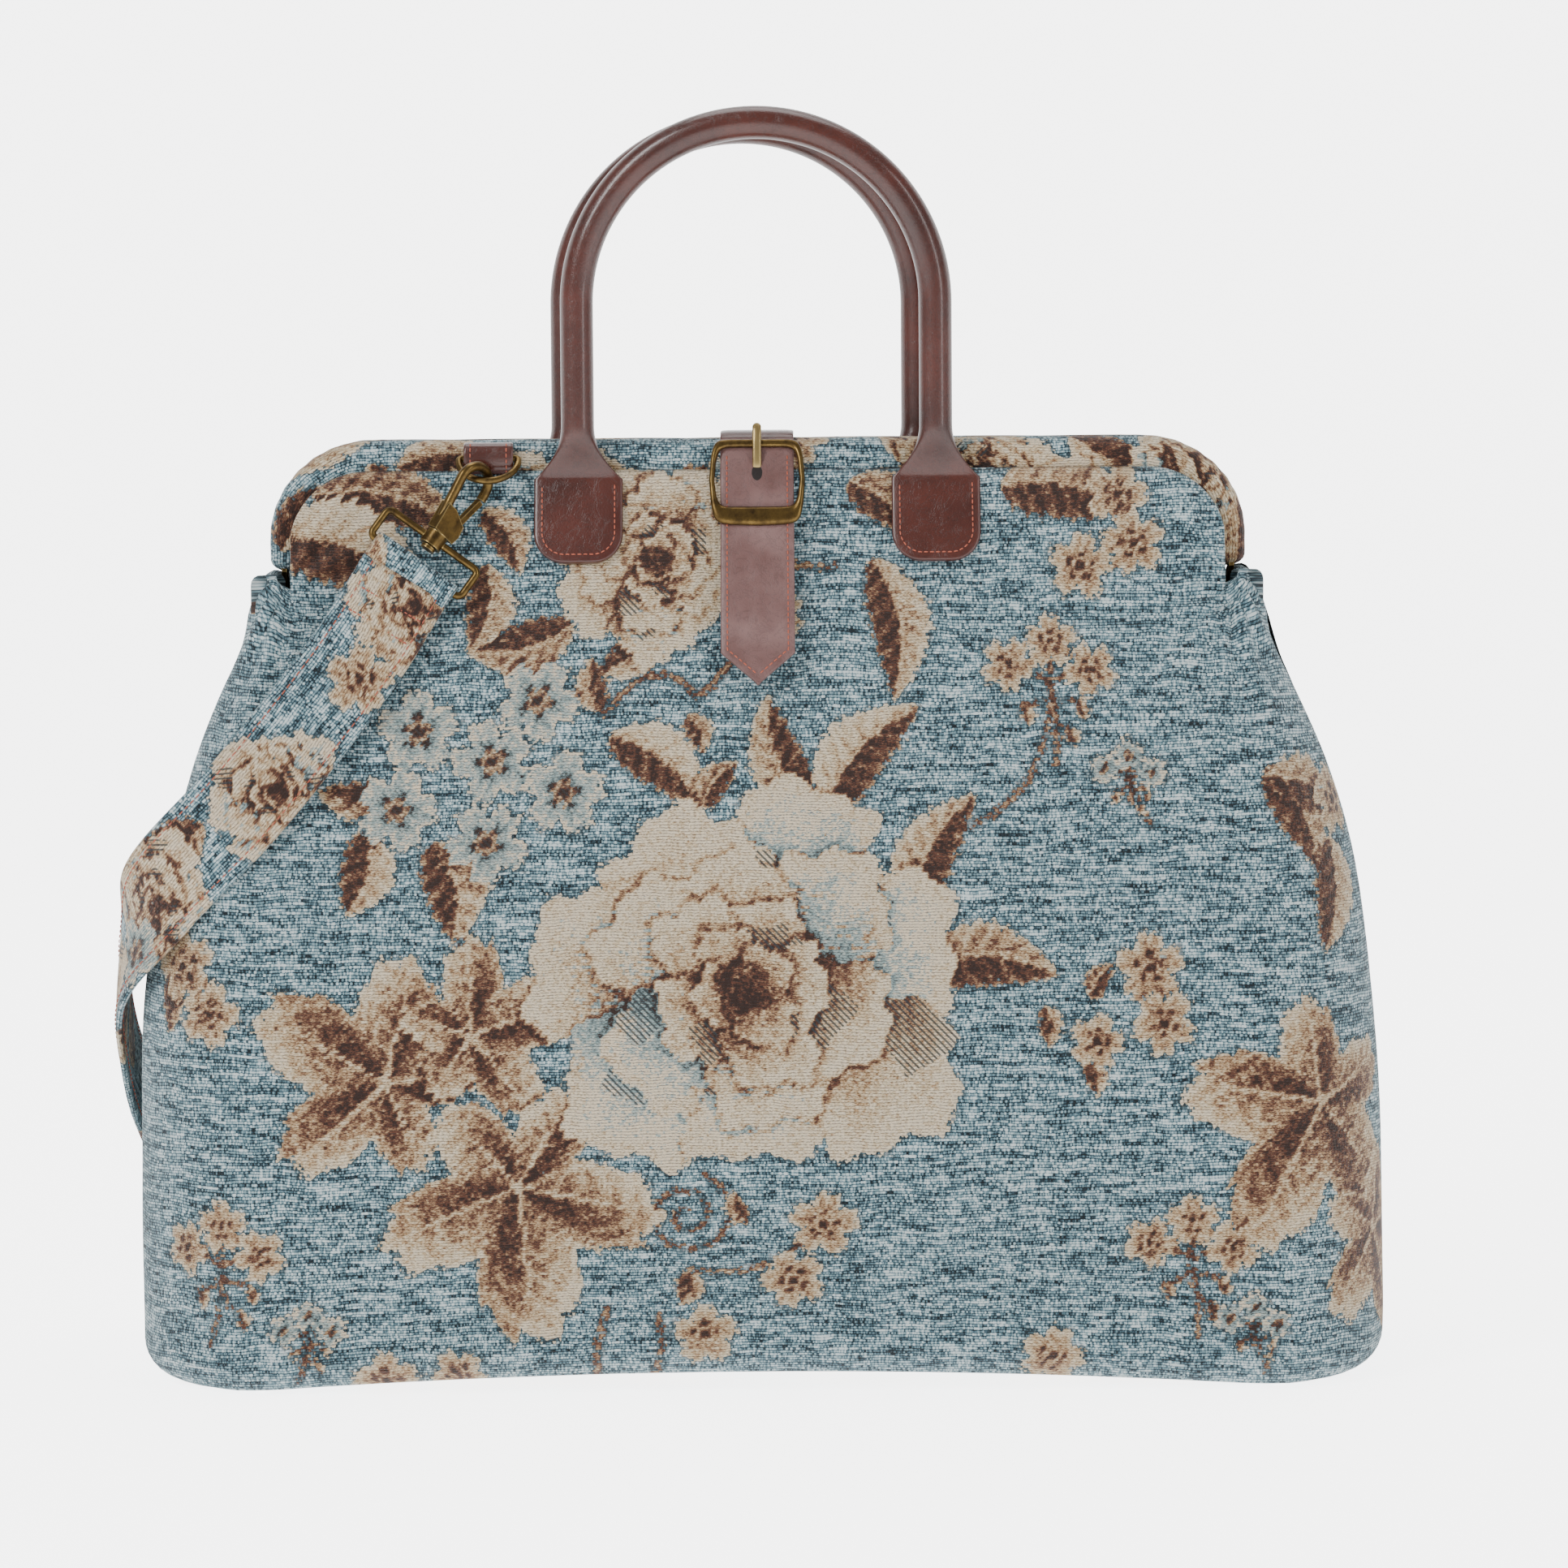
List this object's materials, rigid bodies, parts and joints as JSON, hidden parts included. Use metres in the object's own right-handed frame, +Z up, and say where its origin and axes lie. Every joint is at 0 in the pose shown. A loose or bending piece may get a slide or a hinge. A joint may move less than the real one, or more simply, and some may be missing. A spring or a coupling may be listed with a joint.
{
  "type": "carpet bag",
  "caption": "Tapestry carpet bag with hinged steel jaws, rolled leather handles, buckled closing strap and a clipped shoulder strap.",
  "frame": {"origin": "middle of the base, on the surface the bag stands on", "axes": "+Z up, -Y the front with the buckle, X across the bag"},
  "size_m": [0.5006, 0.1976, 0.499],
  "materials": {
    "tapestry": "chenille tapestry weave",
    "lining_cloth": "plain cotton weave",
    "board": "raw fibreboard",
    "steel": "plain zinc plate",
    "leather": "smooth waxed, red-brown",
    "antique_brass": "antiqued, bright on the edges"
  },
  "bodies": {
    "root": {"front_panel": "tapestry", "back_panel": "tapestry", "bottom_panel": "tapestry", "base_board": "board", "lining": "lining_cloth", "hinge_rivet_left": "steel", "hinge_rivet_right": "steel", "shoulder_strap": "tapestry"},
    "front_jaw": {"frame_bar_front": "steel", "front_rim_cover": "tapestry", "handle_front": "leather", "snap_socket": "steel", "ring_tab_front": "leather", "swivel_loop_front": "antique_brass"},
    "back_jaw": {"frame_bar_back": "steel", "back_rim_cover": "tapestry", "handle_back": "leather", "ring_tab_back": "leather", "swivel_loop_back": "antique_brass"},
    "closure_flap": {"closure_strap": "leather", "billet_strap": "leather", "buckle_frame": "antique_brass", "buckle_tongue": "antique_brass", "snap_stud": "steel"},
    "front_ring": {"ring_front": "antique_brass"},
    "front_hook": {"hook_front": "antique_brass"},
    "front_gate": {"hook_gate_front": "antique_brass"},
    "back_ring": {"ring_back": "antique_brass"},
    "back_hook": {"hook_back": "antique_brass"},
    "back_gate": {"hook_gate_back": "antique_brass"}
  },
  "joints": [
    {"name": "front_jaw_open", "type": "hinge", "parent": "root", "child": "front_jaw", "pos_m": [0, 0, 0.307], "axis": [1, 0, 0], "range_deg": [0, 40], "deforming": ["front_panel", "lining", "shoulder_strap"]},
    {"name": "back_jaw_open", "type": "hinge", "parent": "root", "child": "back_jaw", "pos_m": [0, 0, 0.307], "axis": [1, 0, 0], "range_deg": [-40, 0], "deforming": ["back_panel"]},
    {"name": "closure_flap_lift", "type": "hinge", "parent": "back_jaw", "child": "closure_flap", "pos_m": [0, 0.0183, 0.3714], "axis": [1, 0, 0], "range_deg": [-180, 0]},
    {"name": "front_ring_swing", "type": "hinge", "parent": "front_jaw", "child": "front_ring", "pos_m": [-0.106, -0.02095, 0.3615], "axis": [1, 0, 0], "range_deg": [-4, 4]},
    {"name": "front_hook_swivel", "type": "hinge", "parent": "front_jaw", "child": "front_hook", "pos_m": [-0.12693, -0.03831, 0.33011], "axis": [0.5678, 0.2588, 0.7815], "range_deg": [-8, 8]},
    {"name": "front_gate_press", "type": "hinge", "parent": "front_hook", "child": "front_gate", "pos_m": [-0.11992, -0.03299, 0.334], "axis": [0.6714, -0.6948, -0.2577], "range_deg": [0, 22], "stiffness_Nm_per_rad": 0.02, "springref_deg": -22.92},
    {"name": "back_ring_swing", "type": "hinge", "parent": "back_jaw", "child": "back_ring", "pos_m": [0.106, 0.02095, 0.3615], "axis": [-1, 0, 0], "range_deg": [-4, 4]},
    {"name": "back_hook_swivel", "type": "hinge", "parent": "back_jaw", "child": "back_hook", "pos_m": [0.12693, 0.03831, 0.33011], "axis": [-0.5678, -0.2588, 0.7815], "range_deg": [-8, 8]},
    {"name": "back_gate_press", "type": "hinge", "parent": "back_hook", "child": "back_gate", "pos_m": [0.11992, 0.03299, 0.334], "axis": [-0.6714, 0.6948, -0.2577], "range_deg": [0, 22], "stiffness_Nm_per_rad": 0.02, "springref_deg": -22.92}
  ],
  "couplings": [
    {"joint": "back_jaw_open", "follows": "front_jaw_open", "ratio": -1},
    {"joint": "closure_flap_lift", "follows": "front_jaw_open", "ratio": -4.5}
  ]
}
